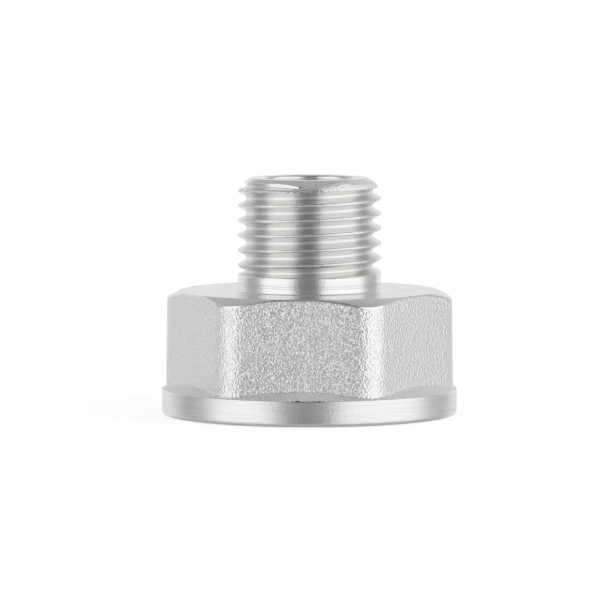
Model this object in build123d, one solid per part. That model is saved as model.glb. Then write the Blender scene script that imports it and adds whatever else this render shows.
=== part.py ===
from build123d import *
import os
from math import radians, tan

# Hex bushing: a forged and turned brass reducer with a small male thread above a hexagon
# and a larger female thread in its underside. One piece, standing on the flat end of its band.
# Millimetres and degrees. The axis is Z, the bottom face is at z = 0 and one flat faces -Y.

# Heights above the bottom face, and the collar's own
TOTAL_HEIGHT = 21.3
HEX_HEIGHT = 11.15
COLLAR_HEIGHT = 1.5
BAND_EDGE_HEIGHT = 2.3

# Forged hexagon, with the turned face and corner chamfer on top of it
ACROSS_FLATS = 23.1
HEX_DRAFT = 0.7
HEX_CORNER_RADIUS = 3.1
TURNED_FACE_DIAMETER = 23.34
CORNER_CHAMFER_ANGLE = 28.0

# Turned band round the foot
BAND_DIAMETER = 26.6
BAND_SLOPE_ANGLE = 21.5
BAND_FOOT_CHAMFER = 0.35
BAND_ROOT_DEPTH = 1.0

# Both threads are right hand, with the 55 degree Whitworth form
INCH = 25.4
FLANK_SLOPE = tan(radians(55.0 / 2))
ROOT_FLAT_SHARE = 1 / 6
GROOVE_OVERRUN = 0.12

# Male thread, G 1/4, and the nose that carries it
MALE_MAJOR_DIAMETER = 12.93
MALE_MINOR_DIAMETER = 11.39
MALE_PITCH = INCH / 19
MALE_START_ANGLE = 153.0
NOSE_CHAMFER = 1.0
COLLAR_FLARE = 0.35

# Female thread, G 1/2, and the socket that holds it
FEMALE_MAJOR_DIAMETER = 20.955
FEMALE_MINOR_DIAMETER = 19.15
FEMALE_PITCH = INCH / 14
FEMALE_START_ANGLE = 90.0
SOCKET_DEPTH = 9.0
SOCKET_MOUTH_DIAMETER = 21.6
SOCKET_CORNER_CHAMFER = 0.4
SOCKET_PLAIN_LENGTH = 2.2

# Waterway through the nose
BORE_DIAMETER = 8.3
BORE_EDGE_BREAK = 0.15


def turned(*outline):
    """The solid that a closed outline of (radius, height) points sweeps round the axis."""
    return revolve(make_face(Plane.XZ * Polyline(*outline, close=True)), Axis.Z)


def forged_hexagon():
    """Drafted hexagon with round corners, faced and chamfered on top by turning."""
    prism = extrude(RegularPolygon(ACROSS_FLATS / 2, 6, major_radius=False), HEX_HEIGHT)
    flats = prism.faces().filter_by(Axis.Z, reverse=True)
    prism = draft(flats, Plane.XY.offset(HEX_HEIGHT), HEX_DRAFT)
    ends = prism.faces().filter_by(Axis.Z)
    prism = fillet(prism.edges() - ends.edges(), HEX_CORNER_RADIUS)
    face_radius = TURNED_FACE_DIAMETER / 2
    outer_radius = BAND_DIAMETER / 2
    drop = (outer_radius - face_radius) * tan(radians(CORNER_CHAMFER_ANGLE))
    return prism & turned(
        (0, 0),
        (outer_radius, 0),
        (outer_radius, HEX_HEIGHT - drop),
        (face_radius, HEX_HEIGHT),
        (0, HEX_HEIGHT),
    )


def foot_band():
    """Band with a chamfered bottom edge and a cone that rises inward to the flats."""
    radius = BAND_DIAMETER / 2
    root_radius = ACROSS_FLATS / 2 - BAND_ROOT_DEPTH
    root_height = BAND_EDGE_HEIGHT + (radius - root_radius) * tan(radians(BAND_SLOPE_ANGLE))
    return turned(
        (0, 0),
        (radius - BAND_FOOT_CHAMFER, 0),
        (radius, BAND_FOOT_CHAMFER),
        (radius, BAND_EDGE_HEIGHT),
        (root_radius, root_height),
        (0, root_height),
    )


def nose():
    """Plain blank of the male thread, flared where the collar meets the hexagon."""
    radius = MALE_MAJOR_DIAMETER / 2
    return turned(
        (0, HEX_HEIGHT),
        (radius + COLLAR_FLARE, HEX_HEIGHT),
        (radius, HEX_HEIGHT + COLLAR_FLARE),
        (radius, TOTAL_HEIGHT - NOSE_CHAMFER),
        (radius - NOSE_CHAMFER, TOTAL_HEIGHT),
        (0, TOTAL_HEIGHT),
    )


def waterway():
    """Socket with a chamfered mouth and a flat shoulder, and the bore on through the nose."""
    mouth_radius = SOCKET_MOUTH_DIAMETER / 2
    socket_radius = FEMALE_MINOR_DIAMETER / 2
    bore_radius = BORE_DIAMETER / 2
    return turned(
        (0, 0),
        (mouth_radius, 0),
        (socket_radius, mouth_radius - socket_radius),
        (socket_radius, SOCKET_DEPTH - SOCKET_CORNER_CHAMFER),
        (socket_radius - SOCKET_CORNER_CHAMFER, SOCKET_DEPTH),
        (bore_radius + BORE_EDGE_BREAK, SOCKET_DEPTH),
        (bore_radius, SOCKET_DEPTH + BORE_EDGE_BREAK),
        (bore_radius, TOTAL_HEIGHT - BORE_EDGE_BREAK),
        (bore_radius + BORE_EDGE_BREAK, TOTAL_HEIGHT),
        (0, TOTAL_HEIGHT),
    )


def thread_groove(root_radius, crest_radius, pitch, start_angle, runout, mouth):
    """Helical groove from the mouth to a 45 degree run-out, where its root climbs to the crests.

    The start angle is where the middle of the groove crosses the run-out's height.
    """
    outward = 1 if crest_radius > root_radius else -1
    upward = 1 if mouth > runout else -1
    open_radius = crest_radius + outward * GROOVE_OVERRUN
    root_half = pitch * ROOT_FLAT_SHARE / 2
    open_half = root_half + abs(open_radius - root_radius) * FLANK_SLOPE
    section = Polyline(
        (root_radius, -root_half),
        (open_radius, -open_half),
        (open_radius, open_half),
        (root_radius, root_half),
        close=True,
    )
    turns = int(abs(mouth - runout) / pitch) + 3
    helix = Helix(pitch, turns * pitch, root_radius)
    groove = sweep(make_face(Plane.XZ * section), path=helix, is_frenet=True)
    start = min(mouth, runout) - pitch
    phase = start_angle + 360 * (start - runout) / pitch
    groove = Pos(0, 0, start) * Rot(0, 0, phase) * groove

    near_radius = crest_radius + 2 * outward * GROOVE_OVERRUN
    far_radius = root_radius - outward * GROOVE_OVERRUN
    climb = upward * outward
    end = mouth + upward * GROOVE_OVERRUN
    return groove & turned(
        (near_radius, runout + climb * (crest_radius - near_radius)),
        (far_radius, runout + climb * (crest_radius - far_radius)),
        (far_radius, end),
        (near_radius, end),
    )


body = forged_hexagon() + foot_band() + nose() - waterway()
body -= thread_groove(
    MALE_MINOR_DIAMETER / 2,
    MALE_MAJOR_DIAMETER / 2,
    MALE_PITCH,
    MALE_START_ANGLE,
    runout=HEX_HEIGHT + COLLAR_HEIGHT,
    mouth=TOTAL_HEIGHT,
)
body -= thread_groove(
    FEMALE_MAJOR_DIAMETER / 2,
    FEMALE_MINOR_DIAMETER / 2,
    FEMALE_PITCH,
    FEMALE_START_ANGLE,
    runout=SOCKET_DEPTH - SOCKET_PLAIN_LENGTH,
    mouth=0,
)

os.makedirs("parts", exist_ok=True)
export_step(body, "parts/bushing_body.step")
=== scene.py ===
"""Looks of the hex bushing: one fine mesh in place of its CAD solid, its nickel, and a plain studio.

Lengths are millimetres until a mesh is made, and metres in the studio. Angles are degrees.
"""
import math
from collections import namedtuple

import bmesh
import bpy
import numpy as np
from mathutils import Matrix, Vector


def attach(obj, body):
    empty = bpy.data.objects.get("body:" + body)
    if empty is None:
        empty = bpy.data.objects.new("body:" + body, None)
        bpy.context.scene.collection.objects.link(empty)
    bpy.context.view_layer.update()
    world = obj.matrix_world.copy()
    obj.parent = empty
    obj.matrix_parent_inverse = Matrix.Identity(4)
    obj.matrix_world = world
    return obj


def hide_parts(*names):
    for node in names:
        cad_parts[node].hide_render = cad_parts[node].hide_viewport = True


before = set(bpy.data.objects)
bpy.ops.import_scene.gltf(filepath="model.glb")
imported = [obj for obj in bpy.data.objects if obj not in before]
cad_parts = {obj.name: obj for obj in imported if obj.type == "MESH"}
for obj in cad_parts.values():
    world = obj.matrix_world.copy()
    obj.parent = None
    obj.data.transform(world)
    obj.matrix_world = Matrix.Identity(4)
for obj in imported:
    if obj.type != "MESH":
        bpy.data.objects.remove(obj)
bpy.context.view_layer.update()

MM = 0.001
INCH = 25.4

# The part's own sizes, as its solid has them, but the band is a hair smaller to stay inside its facets
TOTAL_HEIGHT = 21.3
HEX_HEIGHT = 11.15
COLLAR_TOP = 12.65
BAND_RADIUS = 13.295
BAND_EDGE = 2.3
BAND_SLOPE = 21.5
APOTHEM = 11.55
DRAFT = 0.7
CORNER_RADIUS = 3.1
FACE_RADIUS = 11.67
CHAMFER_ANGLE = 28.0
NOSE_CHAMFER = 1.0
SOCKET_DEPTH = 9.0
MOUTH_RADIUS = 10.8
BORE_RADIUS = 4.15

# Angles round the axis: each flat's share of the turn, and the flat that faces -Y
FLAT_SHARE = 60.0
FRONT = 270.0

# The 55 degree thread form. FLANK is a flank's length along the axis for each unit of depth. An arc of
# radius 1 that touches both flanks does so ARC_COS each side of its middle, and its middle stops
# ARC_SHARE short of the point where they would meet.
FLANK_ANGLE = 27.5
FLANK = math.tan(math.radians(FLANK_ANGLE))
ARC_COS = math.cos(math.radians(FLANK_ANGLE))
ARC_SHARE = 1 / math.sin(math.radians(FLANK_ANGLE)) - 1

# Threads. A groove's middle crosses the height runout at the angle start, and root_half is half the
# width of its bottom, before an arc rounds it. The mesh has a row at each distance in rows from that
# middle: over the root's arc first, and then over the crest.
Thread = namedtuple("Thread", "root crest pitch start runout root_half round_crest rows")
MALE = Thread(
    root=5.695,
    crest=6.465,
    pitch=INCH / 19,
    start=153.0,
    runout=COLLAR_TOP,
    root_half=0.16,
    round_crest=True,
    rows=(0.0, 0.078, 0.156, 0.234, 0.51, 0.56, 0.6, 0.635),
)
FEMALE = Thread(
    root=10.4775,
    crest=9.575,
    pitch=INCH / 14,
    start=90.0,
    runout=6.8,
    root_half=INCH / 14 / 12,
    round_crest=False,
    rows=(0.0, 0.14, 0.221, 0.6, 0.64),
)

# Rise of the wall that ends the male thread, for each unit of depth, and the mesh's level rows: above
# the collar, each side of the end chamfer's edge, up the chamfer as (above its edge, below the end,
# count), and below the nose's end
MALE_RUNOUT_SLOPE = 0.3
RUNOUT_LEVELS = (0.02, 0.12, 0.23)
EDGE_LEVEL = 0.03
CHAMFER_LEVELS = (0.12, 0.14, 8)
END_LEVELS = (0.09, 0.05, 0.02)

# Level rows each side of the edge of the socket's mouth, and below the end of its thread
MOUTH_LEVEL = 0.04

# Rounding of each edge: how far along the line before it and after it, and at most this share of them
FOOT_ROUNDING = (0.55, 0.4)
LIP_ROUNDING = (0.06, 0.06)
BAND_ROOT_ROUNDING = (0.18, 0.22)
CHAMFER_ROUNDING = (0.16, 0.14)
FACE_ROUNDING = (0.07, 0.07)
COLLAR_ROUNDING = (0.13, 0.13)
BORE_ROUNDING = (0.3, 0.3)
BORE_FOOT_ROUNDING = (0.12, 0.12)
SOCKET_ROUNDING = (0.4, 0.4)
MOST_OF_A_SIDE = 0.45

# Strips of the band beside its top edge, and the collar's scored lines as height, half width and depth
LIP_WIDTH = 0.12
LIP_HEIGHT = 0.16
COLLAR_LINES = ((11.62, 0.035, 0.014), (11.78, 0.03, 0.006))

# End of the male thread. Its last groove drops off the helix, wanders in waves of (amount, waves in a
# turn, start in radians) and runs out on the right. The end chamfer is worn, most of all on the right.
GROOVE_DROP = 0.27
GROOVE_DROP_HEIGHTS = (20.2, 20.8)
WANDER = ((0.03, 7, 1.0), (0.02, 13, 0.0))
GROOVE_END_ANGLES = (246.0, 292.0)
GROOVE_END_HEIGHTS = (20.45, 20.8)
GROOVE_END_LIFT = 1.0
END_WEAR = 0.08
END_WEAR_ANGLES = (25.0, 70.0)
END_WEAR_HEIGHTS = (20.85, 21.3)
LIP_WEAR = 0.05
LIP_WEAR_HEIGHTS = (21.2, 21.3)

# The flap of metal that the die tore over the end chamfer there
TEAR_ANGLES = (276.0, 290.0, 345.0, 359.0)
TEAR_DROP = 0.03
TEAR_FOOT = 20.45
TEAR_SLOPE = 0.42
TEAR_TOP = 20.62
TEAR_RISE = 0.45
TEAR_RISE_ANGLES = (276.0, 306.0)
TEAR_FALL = 0.08
TEAR_FALL_ANGLES = (325.0, 345.0)
TEAR_EDGE = (-0.06, 0.03)
TEAR_ROUGHNESS = 0.03
TEAR_GRAIN = 0.08

# Scuffs of the male thread's crests all along it, and rougher ones near its end
SCUFF_DEPTH = 0.014
SCUFF_GRAIN = 0.11
SCUFF_HEIGHTS = (13.2, 13.5)
SCUFF_REACH = (-0.08, -0.02)
END_SCUFF_DEPTH = 0.03
END_SCUFF_GRAIN = 0.13
END_SCUFF_HEIGHTS = (19.8, 20.3, 20.4, 20.6)
END_SCUFF_RADII = (6.1, 6.3)

# Small tears of the band's lip, a little past the middle of each flat and worst under the front one:
# how many degrees from there they are full and end, and their share of strength under other flats
BURR_SHIFT = 4.0
BURR_DEPTH = 0.02
BURR_ANGLES = (4.0, 8.5)
BURR_FRONT_ANGLES = (25.0, 30.0)
BURR_SHARE = 0.25

# Small tears of the hexagon's top edge, along its front flat
NICK_SHIFT = 2.0
NICK_WIDTH = 0.02
NICK_DEPTH = 0.03
NICK_ANGLES = (17.0, 24.0)

# Painted shade: dark specks painted in those tears, and a dark line painted along the fold over the torn
# crest, in place of the shade of their undercuts. Widths are of the strip of height that they lie in,
# reaches are how far they go from the edge, and shares are of their full strength.
SPECK_LIP_WIDTH = 0.09
SPECK_LIP_REACH = 0.3
SPECK_LIP_ANGLES = (5.0, 10.0)
SPECK_LIP_FRONT = (24.0, 30.0)
SPECK_LIP_SHARE = 0.3
SPECK_RIM_WIDTH = 0.05
SPECK_RIM_REACH = 0.2
SPECK_RIM_ANGLES = (18.0, 24.0)
SPECK_RIM_GROWTH = (282.0, 288.0)
SPECK_RIM_SHARE = 0.55
SPECK_FOLD_WIDTH = 0.045
SPECK_FOLD_RADIUS = 5.3
SPECK_FOLD_ANGLES = (262.0, 275.0, 318.0, 335.0)
SPECK_FOLD_SHARE = 0.6
FOLD_HEIGHT = 21.04
FOLD_DIP = 0.1
FOLD_DIP_ANGLES = (270.0, 300.0)

# Where turned faces are torn metal, or a thread's crest, root or flank, by angle, height and radius
TORN_ANGLES = (279.0, 352.0)
TORN_HEIGHTS = (20.4, 21.1)
TORN_LIFT = 0.06
THREADED_HEIGHTS = (12.95, 20.5)
THREADED_RADIUS = 5.6
CREST_START = 0.62
ROOT_END = 0.17
ROOT_RADIUS = 5.9

# The mesh's columns round the axis, the distances at which its points and edges melt together, and
# the seeded random numbers of its tears
COLUMNS = 360
SAME_POINT = 0.0004
NO_LENGTH = 0.0002
RANDOM_STEPS = 256
SEED = 11
THETA = np.arange(COLUMNS + 1) * 360.0 / COLUMNS
RANDOM = np.random.default_rng(SEED).uniform(-1.0, 1.0, (COLUMNS, RANDOM_STEPS))

# ---------------------------------------------------------------- numbers column by column


def tand(angle):
    return math.tan(math.radians(angle))


def ring(value):
    """The same number in every column."""
    return np.full(COLUMNS + 1, float(value))


def ragged(z, step):
    """Fixed random numbers from -1 to 1 for every column, joined up smoothly over each step of z."""
    place = z / step
    low = np.floor(place).astype(int)
    share = place - low
    column = np.arange(COLUMNS + 1) % COLUMNS
    below = RANDOM[column, low % RANDOM_STEPS]
    above = RANDOM[column, (low + 1) % RANDOM_STEPS]
    return below * (1 - share) + above * share


def ramp(value, start, end):
    """0 before start, 1 after end, smooth between them."""
    t = np.clip((value - start) / (end - start), 0.0, 1.0)
    return t * t * (3 - 2 * t)


def fade(value, start, end):
    """1 before start, 0 after end, smooth between them."""
    return 1 - ramp(value, start, end)


def window(value, start, full, last, end):
    """1 from full to last, 0 before start and after end, smooth between them."""
    return ramp(value, start, full) * fade(value, last, end)


def near(value, centre, width):
    """1 at the centre, and next to nothing two widths away."""
    return np.exp(-(((value - centre) / width) ** 2))


def from_angle(angle):
    """Degrees round the axis between every column and that angle."""
    return np.abs(np.mod(THETA - angle + 180.0, 360.0) - 180.0)


def from_flat(shift=0.0):
    """Degrees between every column and the middle of its flat, or a place past it by shift."""
    return np.abs(np.mod(THETA, FLAT_SHARE) - FLAT_SHARE / 2 - shift)


# ---------------------------------------------------------------- outlines of the turned and forged zones


def hex_radius(z):
    """Radius of the drafted, round-cornered hexagon at height z."""
    apothem = APOTHEM + (HEX_HEIGHT - z) * tand(DRAFT)
    half = FLAT_SHARE / 2
    off = np.radians(from_flat())
    from_corner = math.radians(half) - off
    centre = (apothem - CORNER_RADIUS) / math.cos(math.radians(half))
    reach = np.maximum(CORNER_RADIUS**2 - (centre * np.sin(from_corner)) ** 2, 0.0)
    corner = centre * np.cos(from_corner) + np.sqrt(reach)
    tangent = np.arctan((apothem - CORNER_RADIUS) * tand(half) / apothem)
    return np.where(off < tangent, apothem / np.cos(off), corner)


def band_cone(r):
    """Height of the cone that rises inward from the band's lip."""
    return BAND_EDGE + (BAND_RADIUS - r) * tand(BAND_SLOPE)


def corner_chamfer(r):
    """Height of the chamfer turned on the hexagon's top corners, and of the flat face inside it."""
    return HEX_HEIGHT - np.maximum(r - FACE_RADIUS, 0.0) * tand(CHAMFER_ANGLE)


def meet(slope_height, tries=30):
    """Radius and height where the hexagon meets a cone that gives a height for each radius."""
    z = ring(HEX_HEIGHT / 2)
    for _ in range(tries):
        z = 0.5 * z + 0.5 * slope_height(hex_radius(z))
    return hex_radius(z), z


def softened(corners, steps=4):
    """A list of rows for each corner (r, z, back, on) of a line, rounded over those two lengths."""
    groups = []
    for i, (r, z, back, on) in enumerate(corners):
        here = np.stack([ring(0) + r, ring(0) + z])
        if i in (0, len(corners) - 1) or back == 0:
            groups.append([here])
            continue
        ends = []
        for other, length in ((corners[i - 1], back), (corners[i + 1], on)):
            there = np.stack([ring(0) + other[0], ring(0) + other[1]])
            span = np.linalg.norm(there - here, axis=0)
            share = np.minimum(length, MOST_OF_A_SIDE * span) / np.maximum(span, 1e-9)
            ends.append(here + (there - here) * share)
        curve = []
        for t in np.linspace(0.0, 1.0, steps + 1):
            curve.append((1 - t) ** 2 * ends[0] + 2 * t * (1 - t) * here + t**2 * ends[1])
        groups.append(curve)
    return groups


def between(row_a, row_b, count):
    """Evenly spaced rows from one row to another, both left out."""
    return [row_a + (row_b - row_a) * (i + 1) / (count + 1) for i in range(count)]


# ---------------------------------------------------------------- threads


def thread_radius(z, thread):
    """Radius of a thread at the height z of every column."""
    phase = (z - thread.runout) / thread.pitch - (THETA - thread.start) / 360.0
    off = np.abs(phase - np.round(phase)) * thread.pitch
    full = abs(thread.crest - thread.root)
    depth = (off - thread.root_half) / FLANK
    root_arc = thread.root_half / FLANK / ARC_SHARE
    bowl = root_arc - np.sqrt(np.maximum(root_arc**2 - off**2, 0.0))
    depth = np.where(off < root_arc * ARC_COS, bowl, depth)
    if thread.round_crest:
        crest_arc = (thread.pitch / 2 - thread.root_half - full * FLANK) / FLANK / ARC_SHARE
        away = thread.pitch / 2 - off
        dome = full - crest_arc + np.sqrt(np.maximum(crest_arc**2 - away**2, 0.0))
        depth = np.where(away < crest_arc * ARC_COS, dome, depth)
    outward = math.copysign(1.0, thread.crest - thread.root)
    return thread.root + outward * np.clip(depth, 0.0, full)


def thread_rows(thread, low, high, levels):
    """Heights that follow the helix, and level ones at its ends, in order up every column."""
    offsets = sorted(set([-row for row in thread.rows] + list(thread.rows))) + [thread.pitch / 2]
    heights = []
    first = int((low - thread.runout) / thread.pitch) - 3
    last = int((high - thread.runout) / thread.pitch) + 3
    for n in range(first, last + 1):
        for off in offsets:
            climb = (THETA - thread.start) / 360.0 * thread.pitch
            heights.append(thread.runout + climb + n * thread.pitch + off)
    for level in levels:
        heights.append(ring(level))
    rows = np.sort(np.clip(np.array(heights), low, high), axis=0)
    keep = [i for i in range(len(rows)) if (rows[i] > low).any() and (rows[i] < high).any()]
    return [ring(low)] + [rows[i] for i in keep] + [ring(high)]


def male_groove(z):
    """Radius of the male thread, whose groove drops, wanders and runs out at the nose's end."""
    wander = sum(amount * np.sin(np.radians(waves * THETA) + start) for amount, waves, start in WANDER)
    dropped = z + (GROOVE_DROP + wander) * ramp(z, *GROOVE_DROP_HEIGHTS)
    ended = ramp(THETA, *GROOVE_END_ANGLES) * ramp(z, *GROOVE_END_HEIGHTS)
    return thread_radius(dropped, MALE) + GROOVE_END_LIFT * ended * (THETA < 360)


def end_cone(z):
    """Radius of the chamfer on the nose's end, worn towards its lip and most of all on the right."""
    wear = END_WEAR + END_WEAR * fade(from_angle(0.0), *END_WEAR_ANGLES)
    cone = MALE.crest - NOSE_CHAMFER + (TOTAL_HEIGHT - z) - wear * ramp(z, *END_WEAR_HEIGHTS)
    return cone - LIP_WEAR * ramp(z, *LIP_WEAR_HEIGHTS) ** 2


def torn_flap(z, cone):
    """The end cone with the torn first crest lying over it."""
    top = TEAR_TOP + TEAR_RISE * ramp(THETA, *TEAR_RISE_ANGLES)
    top = top - TEAR_FALL * ramp(THETA, *TEAR_FALL_ANGLES)
    flap = MALE.crest - TEAR_DROP - TEAR_SLOPE * np.maximum(z - TEAR_FOOT, 0.0)
    flap = flap + TEAR_ROUGHNESS * ragged(z, TEAR_GRAIN)
    reach = window(THETA, *TEAR_ANGLES) * fade(z, top + TEAR_EDGE[0], top + TEAR_EDGE[1])
    return cone + reach * np.maximum(flap - cone, 0.0)


def scuffed(r, z):
    """The male thread with small scuffs along its crests."""
    on_crest = ramp(r, MALE.crest + SCUFF_REACH[0], MALE.crest + SCUFF_REACH[1])
    on_crest = on_crest * ramp(z, *SCUFF_HEIGHTS)
    near_end = window(z, *END_SCUFF_HEIGHTS) * ramp(r, *END_SCUFF_RADII)
    r = r - SCUFF_DEPTH * on_crest * (1 + ragged(z, SCUFF_GRAIN))
    return r - END_SCUFF_DEPTH * near_end * (1 + ragged(z, END_SCUFF_GRAIN))


def male_zone():
    """Rows of the nose from the top of its collar to its end."""
    edge = TOTAL_HEIGHT - NOSE_CHAMFER
    above, below, count = CHAMFER_LEVELS
    levels = [COLLAR_TOP + level for level in RUNOUT_LEVELS] + [edge - EDGE_LEVEL, edge + EDGE_LEVEL]
    levels += list(np.linspace(edge + above, TOTAL_HEIGHT - below, count))
    levels += [TOTAL_HEIGHT - level for level in END_LEVELS]
    rows = []
    for z in thread_rows(MALE, COLLAR_TOP, TOTAL_HEIGHT, levels):
        runout = MALE.crest - (z - COLLAR_TOP) / MALE_RUNOUT_SLOPE
        thread = np.minimum(MALE.crest, np.maximum(male_groove(z), runout))
        r = np.minimum(thread, torn_flap(z, end_cone(z)))
        rows.append(np.stack([scuffed(r, z), z]))
    return rows


def female_zone():
    """Rows of the threaded part of the socket, from its mouth up."""
    edge = MOUTH_RADIUS - FEMALE.crest
    levels = [edge - MOUTH_LEVEL, edge + MOUTH_LEVEL, FEMALE.runout - MOUTH_LEVEL]
    rows = []
    for z in thread_rows(FEMALE, 0.0, FEMALE.runout, levels):
        runout = FEMALE.crest + (FEMALE.runout - z)
        r = np.maximum(FEMALE.crest, np.minimum(thread_radius(z, FEMALE), runout))
        r = np.maximum(r, FEMALE.crest + (edge - z))
        rows.append(np.stack([r, z]))
    return rows


# ---------------------------------------------------------------- tears and nicks


def blend(least, share):
    """From least where the share is 0 to 1 where it is 1."""
    return least + (1 - least) * share


def rough(row, stride, first=0.0):
    """Fixed random numbers from -1 to 1 for every column, another set for each row of an edge."""
    return ragged(ring(stride * row + first), 1.0)


def burr(row):
    """Small tears of the band's lip under each flat, worst under the front one."""
    front = fade(from_angle(FRONT), *BURR_FRONT_ANGLES)
    amount = fade(from_flat(BURR_SHIFT), *BURR_ANGLES) * blend(BURR_SHARE, front)
    inward = -BURR_DEPTH * amount * (1 + rough(row, 0.37))
    down = -BURR_DEPTH * amount * (1 + rough(row, 0.51, 40.0))
    return np.stack([inward, down])


def nick(row):
    """Small tears of the hexagon's top edge along the front flat."""
    front = fade(from_angle(FRONT + NICK_SHIFT), *NICK_ANGLES)
    uneven = rough(row, 0.43, 77.0)
    return np.stack([-NICK_WIDTH * front * (1 + uneven), -NICK_DEPTH * front * uneven])


def painted_shade_mask(radius, height):
    """Where shade is painted into the tears of the turned edges and along the fold, from 0 to 1 at every
    vertex.
    """
    front = fade(from_angle(FRONT + BURR_SHIFT), *SPECK_LIP_FRONT)
    under_flat = fade(from_flat(BURR_SHIFT), *SPECK_LIP_ANGLES) * blend(SPECK_LIP_SHARE, front)
    lip = near(height, BAND_EDGE, SPECK_LIP_WIDTH) * (radius > BAND_RADIUS - SPECK_LIP_REACH)

    top_r, top_z = meet(corner_chamfer)
    growth = blend(SPECK_RIM_SHARE, ramp(THETA, *SPECK_RIM_GROWTH))
    along_flat = fade(from_angle(FRONT + NICK_SHIFT), *SPECK_RIM_ANGLES) * growth
    rim = near(height, top_z, SPECK_RIM_WIDTH) * (np.abs(radius - top_r) < SPECK_RIM_REACH)

    # A dark line of painted shade along the fold over the torn crest
    seam = SPECK_FOLD_SHARE * window(THETA, *SPECK_FOLD_ANGLES)
    fold_height = FOLD_HEIGHT - FOLD_DIP * fade(THETA, *FOLD_DIP_ANGLES)
    fold = near(height, fold_height, SPECK_FOLD_WIDTH) * (radius > SPECK_FOLD_RADIUS)
    return np.clip(under_flat * lip + along_flat * rim + seam * fold, 0.0, 1.0)


# ---------------------------------------------------------------- the mesh, zone by zone


def mesh_rows():
    """Every row of the mesh in order, from the socket's mouth out, up, in and down again.

    With the rows comes the zone of the faces between each row and the next.
    """
    low_r, low_z = meet(band_cone)
    top_r, top_z = meet(corner_chamfer)
    middle_r, middle_z = 0.5 * (low_r + top_r), 0.5 * (low_z + top_z)
    face_r = np.minimum(hex_radius(ring(HEX_HEIGHT)), FACE_RADIUS)
    lip_r, lip_z = BAND_RADIUS - LIP_WIDTH, BAND_EDGE + LIP_WIDTH * tand(BAND_SLOPE)
    rows, zones = [], []

    def add(new_rows, zone):
        for row in new_rows:
            if rows:
                zones.append(zone)
            rows.append(row)

    mouth, foot, lip, _ = softened(
        [
            (MOUTH_RADIUS, 0.0, 0, 0),
            (BAND_RADIUS, 0.0, *FOOT_ROUNDING),
            (BAND_RADIUS, BAND_EDGE, *LIP_ROUNDING),
            (lip_r, lip_z, 0, 0),
        ]
    )
    lip = lip[:1] + [row + burr(i) for i, row in enumerate(lip) if i]
    below_lip = np.stack([ring(BAND_RADIUS), ring(BAND_EDGE - LIP_HEIGHT)])
    add(mouth + foot + between(foot[-1], below_lip, 2) + [below_lip] + lip[:1], "band")
    add(lip[1:], "edge")

    _, root, _ = softened(
        [(lip_r, lip_z, 0, 0), (low_r, low_z, *BAND_ROOT_ROUNDING), (middle_r, middle_z, 0, 0)]
    )
    _, chamfer, face, collar, collar_top = softened(
        [
            (middle_r, middle_z, 0, 0),
            (top_r, top_z, *CHAMFER_ROUNDING),
            (face_r, HEX_HEIGHT, *FACE_ROUNDING),
            (MALE.crest, HEX_HEIGHT, *COLLAR_ROUNDING),
            (MALE.crest, COLLAR_TOP, 0, 0),
        ]
    )
    add(between(lip[-1], root[0], 3) + root[:2], "slope")
    add(root[2:] + between(root[-1], chamfer[0], 8) + chamfer[:1], "forged")
    add(chamfer[1:3] + [row + nick(i) for i, row in enumerate(chamfer[3:])], "edge")
    add(face + between(face[-1], collar[0], 5) + collar[:3], "face")
    add(collar[3:], "turned")
    for z, half, depth in COLLAR_LINES:
        for level, cut in ((z - half, 0.0), (z, depth), (z + half, 0.0)):
            add([np.stack([ring(MALE.crest - cut), ring(level)])], "turned")
    add(between(rows[-1], collar_top[0], 3), "turned")

    male = male_zone()
    _, bore, bore_foot, socket, _ = softened(
        [
            (male[-1][0], TOTAL_HEIGHT, 0, 0),
            (BORE_RADIUS, TOTAL_HEIGHT, *BORE_ROUNDING),
            (BORE_RADIUS, SOCKET_DEPTH, *BORE_FOOT_ROUNDING),
            (FEMALE.crest, SOCKET_DEPTH, *SOCKET_ROUNDING),
            (FEMALE.crest, FEMALE.runout, 0, 0),
        ]
    )
    add(male + between(male[-1], bore[0], 3) + bore, "turned")
    add(between(bore[-1], bore_foot[0], 6) + bore_foot, "bore")
    add(between(bore_foot[-1], socket[0], 2) + socket, "socket")
    add(list(reversed(female_zone())), "socket")
    return rows, zones


def turned_zone(theta, r, z):
    """Finish of a turned face: torn metal, a scuffed crest, a root, a flank or the plain turned one."""
    cone = MALE.crest - NOSE_CHAMFER + TOTAL_HEIGHT - z
    on_tear = TORN_ANGLES[0] < theta < TORN_ANGLES[1] and TORN_HEIGHTS[0] < z < TORN_HEIGHTS[1]
    if on_tear and r > cone + TORN_LIFT:
        return "torn"
    if r < THREADED_RADIUS or not THREADED_HEIGHTS[0] < z < THREADED_HEIGHTS[1]:
        return "turned"
    phase = (z - MALE.runout) / MALE.pitch - (theta - MALE.start) / 360.0
    off = abs(phase - round(phase)) * MALE.pitch
    if off > CREST_START:
        return "crest"
    return "root" if off < ROOT_END and r < ROOT_RADIUS else "flank"


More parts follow.
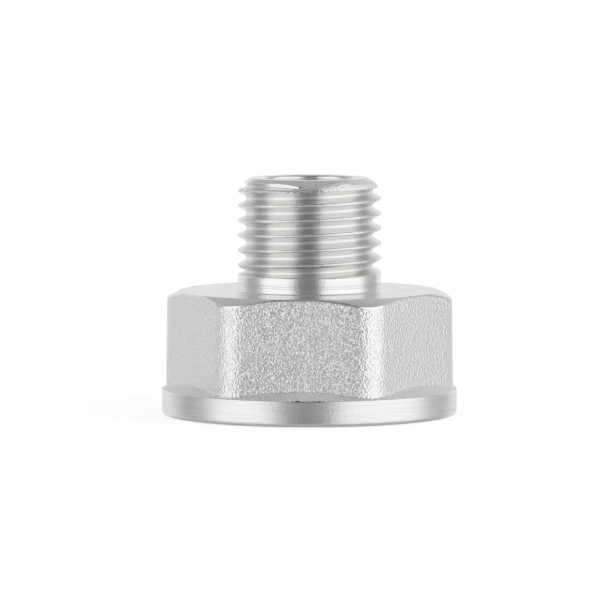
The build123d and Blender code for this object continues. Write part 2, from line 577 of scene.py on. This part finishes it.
def build_body(finishes):
    """The closed body, whose faces carry the finish of their zone."""
    zone_names = list(finishes)
    rows, zones = mesh_rows()
    table = np.array(rows)
    radius, height = table[:, 0, :], table[:, 1, :]
    angle = np.radians(THETA)[None, :]
    points = np.stack([radius * np.cos(angle), radius * np.sin(angle), height], axis=-1) * MM
    count, width = radius.shape
    faces, kinds = [], []
    for j in range(count - 1):
        for i in range(width - 1):
            a = j * width + i
            faces.append((a, a + 1, a + width + 1, a + width))
            zone = zones[j]
            if zone == "turned":
                r = 0.5 * (radius[j, i] + radius[j + 1, i])
                z = 0.5 * (height[j, i] + height[j + 1, i])
                zone = turned_zone(THETA[i] + 0.5, r, z)
            kinds.append(zone_names.index(zone))
    mesh = bpy.data.meshes.new("nickel_body")
    mesh.from_pydata(points.reshape(-1, 3).tolist(), [], faces)
    mesh.polygons.foreach_set("material_index", kinds)
    mesh.polygons.foreach_set("use_smooth", [True] * len(faces))
    # The mask of the shade painted into the tears and along the fold, kept on every vertex
    torn = mesh.attributes.new("painted_shade_mask", "FLOAT", "POINT")
    torn.data.foreach_set("value", painted_shade_mask(radius, height).ravel().astype(np.float32))

    # The first and last columns are joined, and rows that meet lose the faces between them
    bm = bmesh.new()
    bm.from_mesh(mesh)
    bmesh.ops.remove_doubles(bm, verts=bm.verts, dist=SAME_POINT * MM)
    bmesh.ops.dissolve_degenerate(bm, edges=bm.edges, dist=NO_LENGTH * MM)
    bmesh.ops.recalc_face_normals(bm, faces=bm.faces)
    bm.to_mesh(mesh)
    bm.free()

    body = bpy.data.objects.new("nickel_body", mesh)
    bpy.context.scene.collection.objects.link(body)
    weighted = body.modifiers.new("weighted", "WEIGHTED_NORMAL")
    weighted.mode = "FACE_AREA"
    weighted.weight = 50
    for finish in finishes.values():
        mesh.materials.append(finish)
    return body


# ---------------------------------------------------------------- nickel

# Clean bright plate, brushed plate, frosted plate, the dull colours of single zones, and the dark of the
# painted shade
BRIGHT = (0.85, 0.848, 0.839)
BRUSHED = (0.815, 0.812, 0.80)
FROSTED = (0.87, 0.867, 0.857)
TORN = (0.95, 0.947, 0.937)
FLANKS = (0.79, 0.789, 0.781)
SLOPE = (0.96, 0.958, 0.95)
# The dark colour of the painted shade in the tears and along the fold
PAINTED_SHADE = (0.12, 0.118, 0.112)
WHITE = (1.0, 1.0, 1.0)

# Noise frequencies for each metre, noise detail, and the part of a noise's range that is put to use
PATCHES = 260.0
CRUMBS = 5200.0
SOFT_DETAIL = 3.0
FINE_DETAIL = 1.0
PATCH_RANGE = (0.3, 0.7)
LINE_RANGE = (0.35, 0.6)
# Where the painted shade turns dark, and the mask's share of it against the fine noise
PAINTED_SHADE_RANGE = (0.9, 1.06)
PAINTED_SHADE_SHARE = 0.62
PATCH_SHADE = 0.98


def node_tree(name):
    material = bpy.data.materials.new(name)
    material.use_nodes = True
    tree = material.node_tree
    tree.nodes.clear()
    return material, tree


def add_node(tree, kind, inputs=None, **settings):
    """A node with its settings, and with each input set to a number or joined to a socket."""
    node = tree.nodes.new(kind)
    for key, value in settings.items():
        setattr(node, key, value)
    for key, value in (inputs or {}).items():
        if isinstance(value, bpy.types.NodeSocket):
            tree.links.new(value, node.inputs[key])
        else:
            node.inputs[key].default_value = value
    return node


def noise(tree, spot, scale, detail):
    inputs = {"Vector": spot, "Scale": scale, "Detail": detail}
    return add_node(tree, "ShaderNodeTexNoise", inputs).outputs[0]


def spread_out(tree, value, reach, low=0.0, high=1.0):
    """A value stretched from its reach to the range from low to high."""
    inputs = {
        "Value": value,
        "From Min": reach[0],
        "From Max": reach[1],
        "To Min": low,
        "To Max": high,
    }
    return add_node(tree, "ShaderNodeMapRange", inputs).outputs[0]


def shades(tree, value, reach, low, high):
    """A colour between two, by a value over its reach."""
    node = add_node(tree, "ShaderNodeValToRGB", {0: value})
    for element, position, colour in zip(node.color_ramp.elements, reach, (low, high)):
        element.position = position
        element.color = (*colour, 1.0)
    return node.outputs[0]


def mix_colours(tree, blend, factor, first, second):
    inputs = {0: factor, 6: first, 7: second}
    return add_node(tree, "ShaderNodeMix", inputs, data_type="RGBA", blend_type=blend).outputs[2]


def bump(tree, height, depth, under):
    """Normals of a surface with this height over the normals under it, or over the bare mesh's."""
    inputs = {"Height": height, "Distance": depth * MM, "Strength": 1.0, **under}
    return {"Normal": add_node(tree, "ShaderNodeBump", inputs).outputs[0]}


def turning_coords(tree, fine, along):
    """Two vectors: the plain place, and one whose noise runs in turned lines.

    It is fine across the lines and slowly changing along them.
    """
    spot = add_node(tree, "ShaderNodeTexCoord").outputs["Object"]
    parts = add_node(tree, "ShaderNodeSeparateXYZ", {0: spot}).outputs
    flat = add_node(tree, "ShaderNodeCombineXYZ", {0: parts[0], 1: parts[1], 2: 0.0}).outputs[0]
    reach = add_node(tree, "ShaderNodeVectorMath", {0: flat}, operation="LENGTH").outputs["Value"]
    across = add_node(tree, "ShaderNodeCombineXYZ", {0: reach, 1: parts[2], 2: 0.0}).outputs[0]
    scaled = add_node(
        tree, "ShaderNodeVectorMath", {0: across, 1: (fine, fine, fine)}, operation="MULTIPLY"
    )
    lines = add_node(
        tree,
        "ShaderNodeVectorMath",
        {0: flat, 1: (along, along, along), 2: scaled.outputs[0]},
        operation="MULTIPLY_ADD",
    )
    return spot, lines.outputs[0]


def nickel(name, colour, roughness, spread=0.03, lines=(9000.0, 0.0, 0.0), grain=(5000.0, 0.0)):
    """Nickel plate. Lines are (fineness, depth in mm, share of colour), grain is (fineness, depth in mm)."""
    material, tree = node_tree(name)
    line_fineness, line_depth, line_colour = lines
    grain_fineness, grain_depth = grain
    spot, along = turning_coords(tree, line_fineness, PATCHES)
    streak = noise(tree, along, 1.0, SOFT_DETAIL)
    patches = noise(tree, spot, PATCHES, SOFT_DETAIL)

    rough_patches = spread_out(tree, patches, PATCH_RANGE, roughness - spread, roughness + spread)
    tint = shades(tree, patches, PATCH_RANGE, [c * PATCH_SHADE for c in colour], colour)
    worn = shades(tree, streak, LINE_RANGE, [1 - line_colour] * 3, WHITE)
    base = mix_colours(tree, "MULTIPLY", 1.0, tint, worn)

    # Painted shade: a dark colour mixed in over the mask and broken up by fine noise, for the shade of the
    # tears' undercuts and the fold
    where = add_node(tree, "ShaderNodeAttribute", attribute_name="painted_shade_mask").outputs["Fac"]
    crumbs = noise(tree, spot, CRUMBS, FINE_DETAIL)
    painted_shade_pattern = add_node(
        tree, "ShaderNodeMath", {0: where, 1: PAINTED_SHADE_SHARE, 2: crumbs}, operation="MULTIPLY_ADD"
    )
    painted_shade_amount = spread_out(tree, painted_shade_pattern.outputs[0], PAINTED_SHADE_RANGE)
    base = mix_colours(tree, "MIX", painted_shade_amount, base, (*PAINTED_SHADE, 1.0))

    normal = {}
    if line_depth:
        normal = bump(tree, streak, line_depth, normal)
    if grain_depth:
        normal = bump(tree, noise(tree, spot, grain_fineness, FINE_DETAIL), grain_depth, normal)
    inputs = {"Base Color": base, "Metallic": 1.0, "Roughness": rough_patches, **normal}
    shader = add_node(tree, "ShaderNodeBsdfPrincipled", inputs)
    add_node(tree, "ShaderNodeOutputMaterial", {"Surface": shader.outputs[0]})
    return material


FINISHES = {
    "turned": dict(colour=BRIGHT, roughness=0.22, lines=(9000.0, 0.003, 0.06), grain=(6000.0, 0.012)),
    "forged": dict(colour=FROSTED, roughness=0.35, spread=0.04, grain=(5000.0, 0.12)),
    "band": dict(colour=BRUSHED, roughness=0.31, lines=(7000.0, 0.009, 0.09), grain=(5200.0, 0.014)),
    "face": dict(colour=BRIGHT, roughness=0.26, lines=(7000.0, 0.004, 0.05), grain=(5200.0, 0.008)),
    "socket": dict(colour=BRIGHT, roughness=0.20, lines=(9000.0, 0.0015, 0.03)),
    "torn": dict(colour=TORN, roughness=0.5, spread=0.05, grain=(6500.0, 0.08)),
    "edge": dict(colour=BRIGHT, roughness=0.24, grain=(5200.0, 0.01)),
    "bore": dict(colour=BRUSHED, roughness=0.26, lines=(9000.0, 0.004, 0.08)),
    "crest": dict(colour=FROSTED, roughness=0.46, spread=0.06, grain=(7000.0, 0.03)),
    "root": dict(colour=BRIGHT, roughness=0.32, lines=(9000.0, 0.003, 0.05)),
    "flank": dict(colour=FLANKS, roughness=0.22, lines=(9000.0, 0.003, 0.06)),
    "slope": dict(colour=SLOPE, roughness=0.55, spread=0.05, grain=(5000.0, 0.13)),
}
body = build_body({zone: nickel("nickel_" + zone, **look) for zone, look in FINISHES.items()})
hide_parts("bushing_body")
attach(body, "root")

# ---------------------------------------------------------------- camera

CAMERA_AZIMUTH = 4.7
CAMERA_DISTANCE = 487.0
CAMERA_HEIGHT = 47.9
LENS = 325.3
SENSOR = 36.0
AIM_RIGHT = -0.84
AIM_HEIGHT = 10.25
CLIP_START = 50.0
CLIP_END = 60000.0

turn = math.radians(CAMERA_AZIMUTH)
toward_camera = Vector((math.sin(turn), -math.cos(turn), 0.0))
to_the_right = Vector((math.cos(turn), math.sin(turn), 0.0))
aim = (to_the_right * AIM_RIGHT + Vector((0, 0, AIM_HEIGHT))) * MM
eye = (to_the_right * AIM_RIGHT + toward_camera * CAMERA_DISTANCE + Vector((0, 0, CAMERA_HEIGHT))) * MM
camera = bpy.data.objects.new("camera", bpy.data.cameras.new("camera"))
bpy.context.scene.collection.objects.link(camera)
camera.location = eye
camera.rotation_euler = (aim - eye).to_track_quat("-Z", "Y").to_euler()
camera.data.sensor_width = SENSOR
camera.data.lens = LENS
camera.data.clip_start = CLIP_START * MM
camera.data.clip_end = CLIP_END * MM
bpy.context.scene.camera = camera

# ---------------------------------------------------------------- studio

# Cards round the object, as azimuths counted to the right from the camera's side, elevations,
# strength and reach. Bright ones are softboxes, dark ones are flags.
CARDS = {
    "flag_front": ((-20.0, 15.0), (-70.0, 50.0), 0.21, 1.2),
    "brow": ((-70.0, 65.0), (49.0, 77.0), 0.18, 0.25),
    "edge_left": ((-28.0, -20.0), (-70.0, 47.0), 0.66, 1.2),
    "edge_right": ((15.0, 22.0), (-70.0, 47.0), 0.7, 1.2),
    "softbox_left": ((-80.0, -28.0), (-70.0, 47.0), 1.18, 1.0),
    "softbox_right": ((22.0, 94.0), (-70.0, 47.0), 1.18, 1.0),
    "inner_left": ((-88.0, -80.0), (-70.0, 50.0), 0.8, 0.8),
    "flag_left": ((-118.0, -88.0), (-70.0, 55.0), 0.46, 0.7),
    "outer_left": ((-130.0, -118.0), (-70.0, 50.0), 0.74, 0.8),
    "inner_right": ((94.0, 102.0), (-70.0, 50.0), 0.86, 0.8),
    "flag_right": ((102.0, 134.0), (-70.0, 52.0), 0.54, 0.7),
    "outer_right": ((134.0, 142.0), (-70.0, 22.0), 0.76, 0.8),
    "back_low": ((134.0, 242.0), (22.0, 30.0), 0.64, 1.0),
    "back_right": ((134.0, 184.0), (30.0, 55.0), 0.66, 1.0),
    "back_left": ((184.0, 242.0), (30.0, 55.0), 0.5, 1.0),
}
CARD_STEPS = 12

# Level cards over and under the object, as radius, height and strength
CEILING = (1.18, 1.1, 0.46)
SHADE = (0.03, -0.01, 0.5)
DISC_CORNERS = 96
FLOOR_RADIUS = 8.0
FLOOR_HEIGHT = -0.00001
FLOOR_COLOUR = (0.8, 0.8, 0.8, 1.0)
FLOOR_GLOW = 0.55
WORLD_LEVEL = 0.92


def glow(name, strength):
    """A plain white light of this strength."""
    material, tree = node_tree(name)
    light = add_node(tree, "ShaderNodeEmission", {"Color": (*WHITE, 1.0), "Strength": strength})
    add_node(tree, "ShaderNodeOutputMaterial", {"Surface": light.outputs[0]})
    return material


def stage_piece(name, verts, faces, material):
    """A piece of the studio, which isn't part of the object."""
    mesh = bpy.data.meshes.new(name)
    mesh.from_pydata(verts, [], faces)
    mesh.materials.append(material)
    piece = bpy.data.objects.new(name, mesh)
    bpy.context.scene.collection.objects.link(piece)
    return piece


def card(name, azimuths, elevations, strength, reach):
    """A curved card round the object, out of the camera's sight."""
    angles = np.radians(np.linspace(azimuths[0], azimuths[1], CARD_STEPS + 1))
    verts = []
    for elevation in elevations:
        for a in angles:
            spot = toward_camera * math.cos(a) + to_the_right * math.sin(a)
            verts.append(spot * reach + Vector((0, 0, reach * tand(elevation))))
    faces = [(i, i + 1, i + CARD_STEPS + 2, i + CARD_STEPS + 1) for i in range(CARD_STEPS)]
    piece = stage_piece(name, verts, faces, glow(name, strength))
    piece.visible_camera = False


def disc(name, radius, height, material):
    around = np.radians(np.arange(DISC_CORNERS) * 360.0 / DISC_CORNERS)
    verts = [(radius * math.cos(a), radius * math.sin(a), height) for a in around]
    return stage_piece(name, verts, [tuple(range(DISC_CORNERS))], material)


def glowing_disc(name, radius, height, strength):
    """A level card over or under the object, out of the camera's sight."""
    piece = disc(name, radius, height, glow(name, strength))
    piece.visible_camera = False


def floor_material():
    """White paper that shows the object's shadow, and looks white to the camera and in the metal."""
    material, tree = node_tree("floor")
    path = add_node(tree, "ShaderNodeLightPath").outputs
    seen = path["Is Camera Ray"]
    for ray in ("Is Glossy Ray", "Is Transmission Ray"):
        seen = add_node(tree, "ShaderNodeMath", {0: seen, 1: path[ray]}, operation="ADD").outputs[0]
    level = add_node(tree, "ShaderNodeMath", {0: seen, 1: FLOOR_GLOW}, operation="MULTIPLY")
    white = add_node(tree, "ShaderNodeEmission", {"Strength": level.outputs[0]})
    paper = add_node(tree, "ShaderNodeBsdfDiffuse", {"Color": FLOOR_COLOUR})
    both = add_node(tree, "ShaderNodeAddShader", {0: white.outputs[0], 1: paper.outputs[0]})
    add_node(tree, "ShaderNodeOutputMaterial", {"Surface": both.outputs[0]})
    return material


for card_name, placing in CARDS.items():
    card(card_name, *placing)
glowing_disc("ceiling", *CEILING)
glowing_disc("shade", *SHADE)
floor = disc("floor", FLOOR_RADIUS, FLOOR_HEIGHT, floor_material())
floor.visible_glossy = False
floor.visible_shadow = False

world = bpy.data.worlds.new("studio")
bpy.context.scene.world = world
world.use_nodes = True
background = world.node_tree.nodes["Background"]
background.inputs["Color"].default_value = (*WHITE, 1.0)
background.inputs["Strength"].default_value = WORLD_LEVEL
bpy.context.scene.view_settings.view_transform = "Standard"
